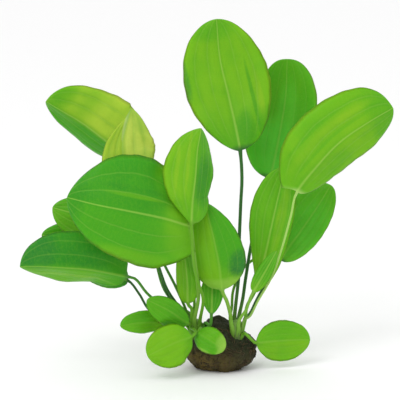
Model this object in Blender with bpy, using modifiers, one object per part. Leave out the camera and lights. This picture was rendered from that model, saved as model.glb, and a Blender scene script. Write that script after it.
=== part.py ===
"""An echinodorus lifted from its pot: two rosettes of broad stalked leaves on one dark root ball.

Metres, +Z up. The origin is the centre of the root ball's flat underside, and -Y is the front.
Each leaf is one grown piece, a blade with its stalk, and ends 0.3 mm short of the crown it grew from.
"""

import math
from typing import NamedTuple

import bmesh
import bpy
from mathutils import Matrix, Vector, noise

MM = 0.001
GAP = 0.0003  # clear space between pieces that touch

# The root ball: a squat lump of soil and roots, cut flat where it rests
BALL_RADII = Vector((0.0234, 0.0215, 0.0165))
BALL_CENTRE = Vector((0.0, 0.0, 0.0120))
BALL_LUMP = 0.0014
BALL_LUMP_SIZE = 0.011
BALL_SEGMENTS = 26
BALL_RINGS = 15
MOUNDS = (
    (-0.0030, 0.0040, 0.0065, 0.0070),
    (0.0110, -0.0150, -0.0050, 0.0050),
)  # x, y, height and spread: soil higher between the crowns, and lower in front of the right one
MOUND_START = 0.5  # how steeply the surface faces up where the mounds are at their full height

# The crowns: short stems that the leaves spring from
CROWN_TOP = 0.037
CROWN_HEIGHT = 0.021
CROWN_SIDES = 16
CROWN_PROFILE = (
    (0.0, 0.0), (0.5, 0.0005), (0.9, 0.0025), (1.05, 0.006), (0.85, 0.016), (0.7, CROWN_HEIGHT),
    (0.0, CROWN_HEIGHT),
)  # share of the radius, and distance below the top
CROWNS = {
    "left_crown": (-0.0160, -0.0045, 0.0058),
    "right_crown": (0.0104, -0.0068, 0.0056),
}  # x, y and the radius

# The front view in which the leaves below are placed
VIEW_TILT = math.radians(10)  # the view looks down by this much
VIEW_DISTANCE = 1.5
VIEW_CENTRE = Vector((-0.01365, 0.0, 0.1115))
GROUND_LINE = -0.10985  # where the front view shows the origin, below its centre

BLADE_THICKNESS = 0.0008
STALK_STEP = 0.015  # between sections of a stalk
FEWEST_STEPS = 4  # in a short stalk
CURVE_STEPS = 24  # from one point of a leaf's course to the next
EDGE_ROUND = 4  # how late a blade thins towards its edge
RIB_TAPER = 1.5  # how fast a midrib thins towards the tip
RIB_FLANK = 3.0  # how far a midrib's flanks reach, in its own radii
LOBE_FADE = 2.0  # how fast a base lobe dies out along the blade
LOBE_START = 0.03  # share of the blade over which the lobe sets in
BASE_SHARE = 0.2  # share of the blade whose sections turn from its stalk's direction to its own
ROLL_START = 0.25  # share of the blade over which the roll sets in
RIPPLES = 7.0  # radians of ripple along a blade's edge
RIPPLE_SHIFT = 3.0  # radians between one edge's ripple and the midrib's
RIPPLE_FULL = 0.01  # the half width at which the ripple is full
STALK_START = 0.35  # how far out in its crown a stalk starts, in the crown's radii
STALK_DEPTH = 0.006  # how far below its crown's surface a stalk starts
END_TRIM = 0.35  # of a row: keeps the end sections off the blade's very ends

GREENS = {
    "light": (0.20, 0.42, 0.03),
    "middle": (0.09, 0.33, 0.03),
    "dark": (0.04, 0.24, 0.03),
}
CROWN_GREEN = (0.36, 0.46, 0.14)
LEAF_ROUGHNESS = 0.42
SOIL_ROUGHNESS = 0.9
SOIL_BROWN = (0.035, 0.022, 0.014)
SHARP_TURN = math.radians(60)
MERGE_WITHIN = 0.00001


class Side(NamedTuple):
    """Half of a blade, on one hand of its midrib."""

    width: float  # mm from the midrib to the edge
    widest: float = 0.45  # how far along the blade
    base: float = 0.9  # 0 is a pointed end, 1 a round one
    tip: float = 0.75
    lobe: float = 0.0  # mm that the edge reaches back past the blade's base


class Leaf(NamedTuple):
    """Points are mm across from the root ball's middle, up from the ground and back, as the front view shows them.

    Left and right are as seen from the front, looking from the blade's base to its tip.
    """

    crown: str
    aim: float  # degrees round the crown: 0 is right, 90 back, 270 front
    stalk: tuple
    rib: tuple
    left: Side
    right: Side
    roll: float = 0  # degrees: brings the right hand nearer the front
    fold: float = 0  # degrees: brings both edges nearer the front
    curl: float = 0.1  # how far the edges bend back again
    wave: float = 0.8  # mm of ripple at the edges
    stalk_radius: float = 1.1
    exit_height: float = 34.0  # where the stalk leaves its crown
    cells: int = 6  # across the blade
    rows: int = 12  # along the blade
    green: str = "light"


LEAVES = {
    "top_leaf": Leaf(
        "right_crown", 105,
        stalk=((11.5, 60, 1), (11.6, 76, 4), (12.8, 107, 9), (13.6, 124, 12)),
        rib=((12.4, 142, 14), (8.5, 162, 20), (4.6, 179, 25), (-0.7, 202, 28), (-3.0, 227.5, 25)),
        left=Side(26.6, 0.52, 0.5, 0.9), right=Side(29, 0.55, 0.9, 0.9),
        fold=8,
    ),
    "top_back_leaf": Leaf(
        "right_crown", 75,
        stalk=((14.2, 46, 3), (16.2, 60, 8), (20.5, 85, 19), (26.7, 104, 29)),
        rib=((31.9, 124, 38), (35.5, 140, 47), (38.8, 157, 54), (42, 178, 59), (43, 201.5, 58)),
        left=Side(22.5, 0.42, 0.9, 1.1), right=Side(22.5, 0.55, 0.9, 1.1),
        roll=-8,
        green="dark",
    ),
    "right_leaf": Leaf(
        "right_crown", 325,
        stalk=((19, 34.5, -11), (24.4, 45, -13), (33, 60, -14), (40, 80, -15), (45.5, 100, -17)),
        rib=((49.4, 115, -19), (63, 132.6, -24), (78, 148, -24), (96, 160.5, -20), (111.8, 169.7, -12)),
        left=Side(27.5, 0.48, 0.8, 1.2, lobe=8), right=Side(19, 0.55, 0.8, 1.2),
        roll=-20, fold=-13, stalk_radius=0.7,
    ),
    "right_back_leaf": Leaf(
        "right_crown", 20,
        stalk=((19, 36.5, -1), (24.2, 47, 5), (31.2, 59, 11)),
        rib=((38.4, 71, 16), (51.4, 89, 26), (61.8, 104, 32), (71.5, 119.5, 35)),
        left=Side(17, 0.6, 0.9, 1.0), right=Side(13, 0.5, 0.9, 0.9),
        roll=12, stalk_radius=0.9,
        green="dark",
    ),
    "right_inner_leaf": Leaf(
        "right_crown", 350,
        stalk=((17, 41, -4),),
        rib=((22.6, 52, -4), (28, 71, -3), (33.2, 94, 0), (38.4, 117, 4), (41.6, 131, 6)),
        left=Side(15.5, 0.65, -1.0, 0.9), right=Side(13, 0.6, 0.9, 1.0),
        roll=10, fold=10,
    ),
    "right_young_leaf": Leaf(
        "right_crown", 285,
        stalk=((16.6, 39, -14), (18.6, 45, -17)),
        rib=((21.2, 50.5, -19), (28.5, 63, -21), (36, 76.5, -23)),
        left=Side(5), right=Side(4.5),
        fold=15, stalk_radius=0.9, cells=4, rows=8,
        green="middle",
    ),
    "right_rear_leaf": Leaf(
        "right_crown", 142,
        stalk=((7.0, 40, 3), (8.2, 52, 9), (15, 66, 17)),
        rib=((29, 77, 25), (38, 88, 36), (49, 98, 46), (61, 106, 52)),
        left=Side(12), right=Side(12),
        roll=-5, stalk_radius=0.9, cells=4, rows=9,
        green="middle",
    ),
    "middle_leaf": Leaf(
        "right_crown", 225,
        stalk=((6, 36, -14), (3.8, 44, -18)),
        rib=((0.7, 51.5, -21), (-1.3, 68, -27), (-4.6, 84, -30), (-7.8, 97, -29), (-10.4, 108, -25)),
        left=Side(15.5, 0.3, 1.15, 0.9), right=Side(17.2, 0.34, 1.0, 0.6),
        fold=-8, curl=0.15, stalk_radius=1.2,
        green="middle",
    ),
    "middle_young_leaf": Leaf(
        "left_crown", 345,
        stalk=((-7.0, 28.5, -11),),
        rib=((-6.2, 36, -12), (-5.8, 47, -11), (-5.5, 62, -8)),
        left=Side(7, 0.6, 0.3), right=Side(7, 0.6, 0.3),
        fold=15, stalk_radius=1.0, cells=4, rows=8, exit_height=31,
        green="middle",
    ),
    "upright_leaf": Leaf(
        "left_crown", 294,
        stalk=((-11.6, 45, -20), (-14.8, 56, -29), (-17.3, 66, -35), (-18.5, 78, -40), (-18.8, 87, -42.5)),
        rib=((-19.2, 94.5, -44), (-18.2, 111, -45), (-16.6, 127, -43), (-15, 143, -38), (-13, 156.5, -32)),
        left=Side(19.4, 0.54, -0.1, 0.5), right=Side(20, 0.5, 0.9, 0.8),
        roll=-32, fold=-22, stalk_radius=1.0,
    ),
    "front_leaf": Leaf(
        "left_crown", 256,
        stalk=((-14.8, 45, -13), (-15.2, 56, -22), (-16.8, 68, -28), (-18.2, 80, -32), (-18.9, 88, -35)),
        rib=(
            (-19.8, 92.8, -37), (-24.8, 94.3, -39), (-37.5, 98, -43), (-59.2, 102.5, -48), (-82, 107, -48),
            (-100.1, 111.5, -43),
        ),
        left=Side(33, 0.34, 1.0, 0.85, lobe=12), right=Side(35.3, 0.48, 0.5, 0.85),
        roll=4, fold=-6, curl=0.12, stalk_radius=1.2,
        green="middle",
    ),
    "upper_left_leaf": Leaf(
        "left_crown", 120,
        stalk=((-27.5, 41, 7), (-36.4, 51.5, 10), (-41.6, 69, 17), (-47, 100, 25)),
        rib=((-52, 133, 30), (-74.8, 148.5, 35), (-93.6, 162, 36), (-113.8, 174, 32)),
        left=Side(17.5, 0.45, 0.9, 0.6), right=Side(27.3, 0.4, 0.3, 1.0),
        roll=30, fold=-20, stalk_radius=1.25,
    ),
    "upper_left_young_leaf": Leaf(
        "left_crown", 172,
        stalk=((-23.4, 40, -4), (-30, 54.6, -4), (-37.7, 69.6, -2), (-50, 95, 2)),
        rib=((-59, 120, 6), (-63.5, 139, 10), (-63, 153, 13), (-58.5, 169.7, 14)),
        left=Side(14.8, 0.22, 0.9, -2.0), right=Side(21, 0.47, 0.9, 0.5),
        fold=8, stalk_radius=0.9,
    ),
    "lower_left_leaf": Leaf(
        "left_crown", 208,
        stalk=((-31, 36, -14), (-46.8, 48, -15), (-55, 58, -16)),
        rib=((-61.1, 60, -17), (-76, 63, -23), (-92, 65, -27), (-111, 66.5, -28), (-130.7, 66.5, -25)),
        left=Side(20, 0.5, 0.9, 0.8), right=Side(23, 0.5, 1.0, 0.9, lobe=3),
        roll=33, fold=-26, stalk_radius=0.9,
        green="dark",
    ),
    "lower_left_back_leaf": Leaf(
        "left_crown", 165,
        stalk=((-33, 31, -1), (-46.2, 38, 2), (-53.3, 49, 5)),
        rib=((-60.5, 57.5, 8), (-73, 60.5, 11), (-90, 63, 12)),
        left=Side(7.5), right=Side(9),
        stalk_radius=0.8, cells=4, rows=9, exit_height=29,
        green="dark",
    ),
    "far_left_leaf": Leaf(
        "left_crown", 150,
        stalk=((-28, 38.5, 0), (-36, 51, 5), (-42, 70, 8), (-57, 82, 11)),
        rib=((-72, 84, 13), (-95, 85, 13), (-116.6, 87, 10)),
        left=Side(10), right=Side(11),
        stalk_radius=0.8, cells=4, rows=9,
        green="dark",
    ),
    "left_inner_leaf": Leaf(
        "left_crown", 192,
        stalk=((-26, 39, -8), (-35, 52, -11), (-42, 70, -13), (-52, 85, -14)),
        rib=((-64, 91, -14), (-85, 98, -13), (-109.5, 105, -9)),
        left=Side(16, 0.5, 0.9, 0.8), right=Side(12, 0.5, 0.9, 0.8),
        stalk_radius=0.8, cells=4, rows=9,
    ),
    "left_rear_leaf": Leaf(
        "left_crown", 105,
        stalk=((-18, 58, 14), (-26, 80, 26)),
        rib=((-36, 93, 35), (-50, 104, 43), (-66, 112, 48), (-82, 116, 48)),
        left=Side(17), right=Side(17),
        roll=10, stalk_radius=0.9, cells=4, rows=9,
        green="middle",
    ),
    "left_young_leaf": Leaf(
        "left_crown", 238,
        stalk=((-19, 39, -11),),
        rib=((-21.5, 43, -13), (-22, 57, -16), (-23.4, 71, -18), (-24.7, 82, -20)),
        left=Side(6.5, 0.4), right=Side(8, 0.4),
        fold=12, cells=4, rows=9,
        green="middle",
    ),
    "low_left_leaf": Leaf(
        "left_crown", 228,
        stalk=(),
        rib=((-21.5, 29.5, -15), (-27, 33.3, -20), (-34, 38, -25), (-48, 45, -30)),
        left=Side(9.5, 0.5), right=Side(7, 0.6, 0.7),
        exit_height=30, cells=4, rows=9,
        green="middle",
    ),
    "low_outer_leaf": Leaf(
        "left_crown", 200,
        stalk=((-26, 30.5, -10),),
        rib=((-36, 30, -13), (-46, 30.3, -16), (-56, 29.7, -18), (-65.5, 28, -17)),
        left=Side(7, 0.5, 0.8, 0.8), right=Side(7.5, 0.5, 0.8, 0.8),
        roll=15, stalk_radius=0.9, exit_height=28, cells=4, rows=9,
        green="middle",
    ),
    "low_front_leaf": Leaf(
        "left_crown", 245,
        stalk=((-16.5, 24, -23),),
        rib=((-19.2, 21, -27), (-27, 18.2, -32), (-36, 14.2, -35), (-47.8, 8.4, -35)),
        left=Side(14.2, 0.5, 0.9, 1.0), right=Side(12.5, 0.5, 0.9, 1.0),
        stalk_radius=1.0, exit_height=28, cells=4, rows=10,
    ),
    "low_middle_leaf": Leaf(
        "left_crown", 296,
        stalk=((-13.4, 26.2, -16),),
        rib=((-14.8, 23.8, -21), (-11.4, 21.2, -25), (-5.4, 17.4, -28), (2.4, 12.7, -28.5)),
        left=Side(8.2, 0.5, 0.9, 1.0), right=Side(8.2, 0.45, 1.0, 1.0, lobe=1),
        stalk_radius=0.9, exit_height=28, cells=4, rows=10,
    ),
    "low_right_leaf": Leaf(
        "right_crown", 325,
        stalk=((17, 22, -14.5), (20.3, 18.6, -13.5)),
        rib=((23, 17, -12), (31, 17.8, -7), (41, 18.5, -2), (50, 19, 1), (57.9, 19, 3)),
        left=Side(13, 0.5, 0.4, 1.0), right=Side(13, 0.5, 0.6, 1.0),
        stalk_radius=0.9, exit_height=25, cells=4, rows=10,
    ),
}


def clear_scene():
    for old in list(bpy.data.objects):
        bpy.data.objects.remove(old, do_unlink=True)


def new_collection(name):
    collection = bpy.data.collections.new(name)
    bpy.context.scene.collection.children.link(collection)
    return collection


def material(name, colour, roughness):
    """A matt or satin material that is the same all over."""
    made = bpy.data.materials.new(name)
    made.use_nodes = True
    shader = made.node_tree.nodes["Principled BSDF"]
    shader.inputs["Base Color"].default_value = (*colour, 1.0)
    shader.inputs["Roughness"].default_value = roughness
    shader.inputs["Metallic"].default_value = 0.0
    made.diffuse_color = (*colour, 1.0)
    return made


def new_object(name, mesh, collection, look):
    """A smooth object of this mesh, with a sharp edge only where its faces turn steeply."""
    obj = bpy.data.objects.new(name, mesh)
    collection.objects.link(obj)
    mesh.materials.append(look)
    mesh.shade_smooth()
    mesh.set_sharp_from_angle(angle=SHARP_TURN)
    return obj


def placed(across, up, back):
    """The point that the front view shows this far across and up, in mm, at this depth."""
    across, up, back = across * MM, up * MM + GROUND_LINE, back * MM
    depth = back - up * math.sin(VIEW_TILT)
    depth /= math.cos(VIEW_TILT) + up * math.sin(VIEW_TILT) / VIEW_DISTANCE
    spread = 1 + depth / VIEW_DISTANCE
    across = (across - VIEW_CENTRE.x) * spread + VIEW_CENTRE.x
    up = up * spread
    y = depth * math.cos(VIEW_TILT) + up * math.sin(VIEW_TILT)
    z = VIEW_CENTRE.z - depth * math.sin(VIEW_TILT) + up * math.cos(VIEW_TILT)
    return Vector((across, y, z))


def curve_through(points):
    """A smooth curve through the points, as many short steps."""
    points = [points[0] * 2 - points[1], *points, points[-1] * 2 - points[-2]]
    curve = []
    for before, start, end, after in zip(points, points[1:], points[2:], points[3:]):
        slope = end - before
        bend = 2 * before - 5 * start + 4 * end - after
        twist = 3 * start - before - 3 * end + after
        for step in range(CURVE_STEPS):
            t = step / CURVE_STEPS
            curve.append(start + (slope * t + bend * t**2 + twist * t**3) / 2)
    curve.append(points[-2])
    return curve


def lengths_along(curve):
    total = [0.0]
    for start, end in zip(curve, curve[1:]):
        total.append(total[-1] + (end - start).length)
    return total


def point_at(curve, lengths, distance):
    """The point and the direction of the curve this far along it."""
    index = 0
    while index < len(curve) - 2 and lengths[index + 1] < distance:
        index += 1
    step = curve[index + 1] - curve[index]
    share = (distance - lengths[index]) / step.length
    return curve[index] + step * share, step.normalized()


def half_width(side, along):
    """How far the edge is from the midrib, this share of the way along the blade."""
    if along < side.widest:
        away, end = (side.widest - along) / side.widest, side.base
    else:
        away, end = (along - side.widest) / (1 - side.widest), side.tip
    return side.width * MM * max(0.0, 1 - away**2) ** (1 - 0.5 * end)


def frame_at(direction, roll):
    """Unit vectors to the right hand and towards the front, square to the direction."""
    away = Vector((0, math.cos(VIEW_TILT), -math.sin(VIEW_TILT)))
    right = away.cross(direction).normalized()
    front = right.cross(direction).normalized()
    turn = Matrix.Rotation(-roll, 3, direction)
    return turn @ right, turn @ front


def stalk_ring(centre, right, front, radius, cells):
    """A round section, from the left hand over the front to the right and back behind."""
    ring = []
    for corner in range(2 * cells):
        angle = math.pi * (1 - corner / cells)
        ring.append(centre + right * radius * math.cos(angle) + front * radius * math.sin(angle))
    return ring


def blade_point(leaf, across, along, rib):
    """A point of the blade's middle surface, as its reach to the right, its rise to the front and its way back."""
    side = leaf.right if across > 0 else leaf.left
    width = half_width(side, along) + rib + BLADE_THICKNESS / 4
    fold = math.radians(leaf.fold)
    reach = across * width * math.cos(fold)
    rise = abs(across) * width * math.sin(fold) - leaf.curl * across**2 * width
    ripple = math.sin(RIPPLES * along + RIPPLE_SHIFT * across)
    rise += leaf.wave * MM * across**2 * ripple * min(1, width / RIPPLE_FULL)
    lobe = side.lobe * MM * abs(across) * (1 - along) ** LOBE_FADE * min(1, along / LOBE_START)
    return reach, rise, lobe


def blade_ring(leaf, centre, axis, right, front, along):
    """A thin curved section of the blade, with its midrib, in the same order as a stalk's."""
    rib = leaf.stalk_radius * MM * (1 - along) ** RIB_TAPER
    face = []
    for cell in range(leaf.cells + 1):
        across = 2 * cell / leaf.cells - 1
        reach, rise, lobe = blade_point(leaf, across, along, rib)
        middle = centre + right * reach + front * rise - axis * lobe
        half = BLADE_THICKNESS / 2 * (1 - across**EDGE_ROUND)
        half += rib * max(0.0, 1 - (reach / (RIB_FLANK * rib)) ** 2)
        face.append((middle, half))
    ring = [middle + front * half for middle, half in face]
    ring += [middle - front * half for middle, half in reversed(face[1:-1])]
    return ring


def leaf_course(leaf):
    """The curve that a leaf's stalk and midrib follow, out of its crown, and the number of points in its stalk."""
    x, y, radius = CROWNS[leaf.crown]
    aim = math.radians(leaf.aim)
    outward = Vector((math.cos(aim), math.sin(aim), 0))
    axis = Vector((x, y, leaf.exit_height * MM))
    start = axis + outward * radius * STALK_START - Vector((0, 0, STALK_DEPTH))
    stalk = [start, axis + outward * radius, *(placed(*point) for point in leaf.stalk)]
    return curve_through(stalk + [placed(*point) for point in leaf.rib]), len(stalk)


def leaf_rings(leaf):
    curve, stalk_points = leaf_course(leaf)
    lengths = lengths_along(curve)
    base = lengths[CURVE_STEPS * stalk_points]
    rings = []
    stalk_steps = max(FEWEST_STEPS, round(base / STALK_STEP))
    for step in range(stalk_steps):
        centre, direction = point_at(curve, lengths, base * step / stalk_steps)
        right, front = frame_at(direction, 0)
        rings.append(stalk_ring(centre, right, front, leaf.stalk_radius * MM, leaf.cells))
    _, axis = point_at(curve, lengths, base + (lengths[-1] - base) * BASE_SHARE)
    for row in range(leaf.rows + 1):
        along = (1 - math.cos(math.pi * (row + END_TRIM) / (leaf.rows + 2 * END_TRIM))) / 2
        centre, direction = point_at(curve, lengths, base + (lengths[-1] - base) * along)
        direction = axis.lerp(direction, min(1, along / BASE_SHARE)).normalized()
        right, front = frame_at(direction, math.radians(leaf.roll) * min(1, along / ROLL_START))
        rings.append(blade_ring(leaf, centre, axis, right, front, along))
    return rings


def loft(name, rings):
    """A closed mesh through rings of equally many points."""
    shape = bmesh.new()
    corners = [[shape.verts.new(point) for point in ring] for ring in rings]
    for lower, upper in zip(corners, corners[1:]):
        count = len(lower)
        for corner in range(count):
            after = (corner + 1) % count
            shape.faces.new((lower[corner], lower[after], upper[after], upper[corner]))
    shape.faces.new(corners[0])
    shape.faces.new(reversed(corners[-1]))
    bmesh.ops.triangulate(shape, faces=shape.faces)
    bmesh.ops.recalc_face_normals(shape, faces=shape.faces)
    mesh = bpy.data.meshes.new(name)
    shape.to_mesh(mesh)
    shape.free()
    return mesh


def crown_object(name, x, y, radius, grow, collection, look):
    """A stub with a rounded top, turned about its upright axis."""
    outline = []
    for share, drop in CROWN_PROFILE:
        reach = radius * share + grow if share else 0.0
        lift = grow * (1 - 2 * drop / CROWN_HEIGHT)
        outline.append((reach, 0, CROWN_TOP - drop + lift))
    mesh = bpy.data.meshes.new(name)
    mesh.from_pydata(outline, [(i, i + 1) for i in range(len(outline) - 1)], [])
    obj = bpy.data.objects.new(name, mesh)
    collection.objects.link(obj)
    obj.location = (x, y, 0)
    mesh.materials.append(look)
    turn = obj.modifiers.new("turn", "SCREW")
    turn.steps = CROWN_SIDES
    turn.render_steps = CROWN_SIDES
    turn.use_merge_vertices = True
    turn.merge_threshold = MERGE_WITHIN
    turn.use_smooth_shade = True
    return obj


def mound_at(point, slope):
    """How much higher the soil is here, on the upper side of the ball."""
    share = min(1, max(0, slope) / MOUND_START)
    rise = 0.0
    for x, y, height, spread in MOUNDS:
        away = (point.xy - Vector((x, y))).length / spread
        rise += height * math.exp(-away**2 / 2)
    return share * rise


def ball_mesh(name):
    """A lumpy ball cut flat at the ground."""
    shape = bmesh.new()
    bmesh.ops.create_uvsphere(shape, u_segments=BALL_SEGMENTS, v_segments=BALL_RINGS, radius=1)
    for corner in shape.verts:
        direction = corner.co.normalized()
        point = Vector(d * r for d, r in zip(direction, BALL_RADII))
        lump = noise.noise(point / BALL_LUMP_SIZE) * BALL_LUMP
        corner.co = BALL_CENTRE + point + direction * lump
        corner.co.z += mound_at(corner.co, direction.z)
    cut = bmesh.ops.bisect_plane(
        shape, geom=shape.verts[:] + shape.edges[:] + shape.faces[:],
        plane_co=(0, 0, 0), plane_no=(0, 0, -1), clear_outer=True,
    )
    rim = [edge for edge in cut["geom_cut"] if isinstance(edge, bmesh.types.BMEdge)]
    bmesh.ops.edgeloop_fill(shape, edges=rim)
    bmesh.ops.triangulate(shape, faces=shape.faces)
    bmesh.ops.recalc_face_normals(shape, faces=shape.faces)
    mesh = bpy.data.meshes.new(name)
    shape.to_mesh(mesh)
    shape.free()
    return mesh


def cut_with(obj, cutter):
    modifier = obj.modifiers.new("clear_of_" + cutter.name, "BOOLEAN")
    modifier.operation = "DIFFERENCE"
    modifier.object = cutter


def add_crowns(parts, cutters):
    """The crowns, and for each a cutter that keeps its neighbours clear of it."""
    made = {}
    for name, (x, y, radius) in CROWNS.items():
        look = material(name, CROWN_GREEN, LEAF_ROUGHNESS)
        crown_object(name, x, y, radius, 0, parts, look)
        cutter = crown_object(name + "_cutter", x, y, radius, GAP, cutters, look)
        cutter.hide_render = True
        cutter.display_type = "WIRE"
        made[name] = cutter
    return made


def build():
    clear_scene()
    parts = new_collection("echinodorus")
    cutters = new_collection("cutters")
    crown_cutters = add_crowns(parts, cutters)
    ball = new_object("root_ball", ball_mesh("root_ball"), parts, material("root_ball", SOIL_BROWN, SOIL_ROUGHNESS))
    for cutter in crown_cutters.values():
        cut_with(ball, cutter)
    for name, leaf in LEAVES.items():
        look = material(name, GREENS[leaf.green], LEAF_ROUGHNESS)
        obj = new_object(name, loft(name, leaf_rings(leaf)), parts, look)
        cut_with(obj, crown_cutters[leaf.crown])


build()
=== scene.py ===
"""The looks of the echinodorus: fine leaves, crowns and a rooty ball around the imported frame, in soft light."""

import math
from typing import NamedTuple

import bmesh
import bpy
import numpy as np
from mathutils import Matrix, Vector, noise


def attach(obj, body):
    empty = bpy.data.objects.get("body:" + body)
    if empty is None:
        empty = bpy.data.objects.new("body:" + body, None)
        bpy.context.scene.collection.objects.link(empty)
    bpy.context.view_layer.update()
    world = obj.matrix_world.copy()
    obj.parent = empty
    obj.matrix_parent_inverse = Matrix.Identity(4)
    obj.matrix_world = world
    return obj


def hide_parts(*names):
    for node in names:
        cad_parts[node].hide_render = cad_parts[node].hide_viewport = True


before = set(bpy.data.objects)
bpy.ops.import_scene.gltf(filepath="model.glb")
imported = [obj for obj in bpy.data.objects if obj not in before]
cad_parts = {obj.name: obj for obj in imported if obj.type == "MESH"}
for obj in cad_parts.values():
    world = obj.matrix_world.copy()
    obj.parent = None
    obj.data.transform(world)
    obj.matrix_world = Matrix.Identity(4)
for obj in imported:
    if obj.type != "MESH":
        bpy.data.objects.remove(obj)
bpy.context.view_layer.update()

MM = 0.001

# The front view in which the leaves are placed, as in the frame's own source
VIEW_TILT = math.radians(10)
VIEW_DISTANCE = 1.5
VIEW_CENTRE = np.array((-0.01365, 0.0, 0.1115))
GROUND_LINE = -0.10985
PICTURE_WIDTH = 0.26  # what the photograph's 400 pixels span at the plant
PAINT_SHARE = 0.82  # of a screen colour's light: the rest comes from the bright surroundings

CROWN_FOOT = 0.016
CROWN_TOP = 0.037
CROWNS = {
    "left_crown": (-0.0160, -0.0045, 0.0058),
    "right_crown": (0.0104, -0.0068, 0.0056),
}

BALL_RADII = Vector((0.0234, 0.0215, 0.0165))
BALL_CENTRE = Vector((0.0, 0.0, 0.0120))
MOUNDS = ((-0.0030, 0.0040, 0.0065, 0.0070), (0.0110, -0.0150, -0.0050, 0.0050))
MOUND_START = 0.5

CURVE_STEPS = 24
BLADE_THICKNESS = 0.00055
LOBE_START = 0.03
BASE_SHARE = 0.2
STALK_ROWS = 40
SHEATH_FOOT = 0.0195  # where the sheaths start, inside the soil
SHEATH_WIDTH = 0.9  # how much wider a stalk is round its crown, in its own radii
SHEATH_LENGTH = 0.013
MAIN_VEINS = 3.0  # spaces between the midrib and an edge


class Side(NamedTuple):
    """Half of a blade, on one hand of its midrib."""

    width: float
    widest: float = 0.45
    base: float = 0.9
    tip: float = 0.75
    lobe: float = 0.0


class Leaf(NamedTuple):
    """A leaf's course and blade, in the measures of the frame's own source."""

    crown: str
    aim: float
    stalk: tuple
    rib: tuple
    left: Side
    right: Side
    roll: float = 0
    fold: float = 0
    curl: float = 0.1
    wave: float = 0.8
    stalk_radius: float = 1.1
    exit_height: float = 34.0
    cells: int = 30
    rows: int = 72


SMALL = dict(cells=22, rows=44)

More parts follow.
